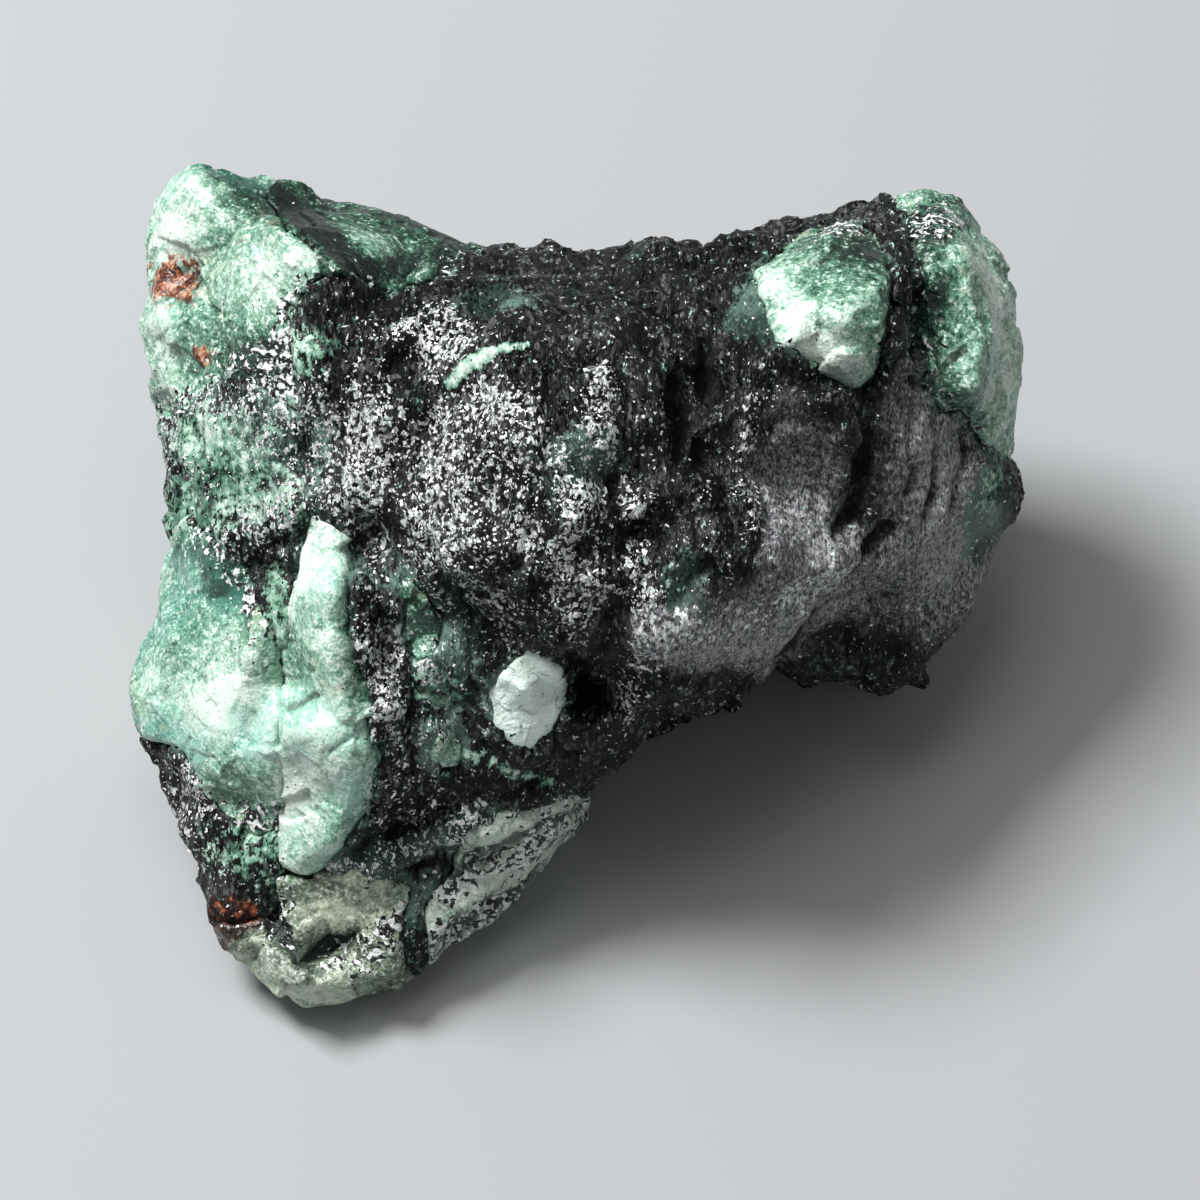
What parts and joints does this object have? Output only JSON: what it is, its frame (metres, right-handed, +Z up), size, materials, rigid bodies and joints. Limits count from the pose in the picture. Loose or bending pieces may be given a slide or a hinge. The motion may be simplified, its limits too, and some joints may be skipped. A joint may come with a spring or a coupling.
{
  "type": "emerald in matrix",
  "caption": "Rough lump of dark mica schist with pale green emerald crystals grown through it, resting on its broken underside.",
  "frame": {"origin": "on the flat underside that the stone rests on, under its middle", "axes": "+X along the stone's longest side, towards the end away from the tall green horn; +Y away from the face that shows the crystals best; +Z up"},
  "size_m": [0.0441, 0.0376, 0.0294],
  "materials": {
    "schist": "rough broken mica schist, satin with bright flakes",
    "beryl": "milky green, half glossy broken crystal",
    "dark_beryl": "deep green, half glossy broken crystal",
    "pale_beryl": "near white green, half glossy broken crystal"
  },
  "bodies": {
    "root": {"schist_matrix": "schist", "emerald_horn": "beryl", "emerald_back": "dark_beryl", "emerald_lobe": "beryl", "emerald_rib": "beryl", "emerald_foot": "beryl", "emerald_ledge": "beryl", "emerald_pocket": "pale_beryl", "emerald_sliver": "dark_beryl", "emerald_bead": "beryl", "emerald_knob": "beryl", "emerald_edge": "beryl"}
  },
  "joints": []
}
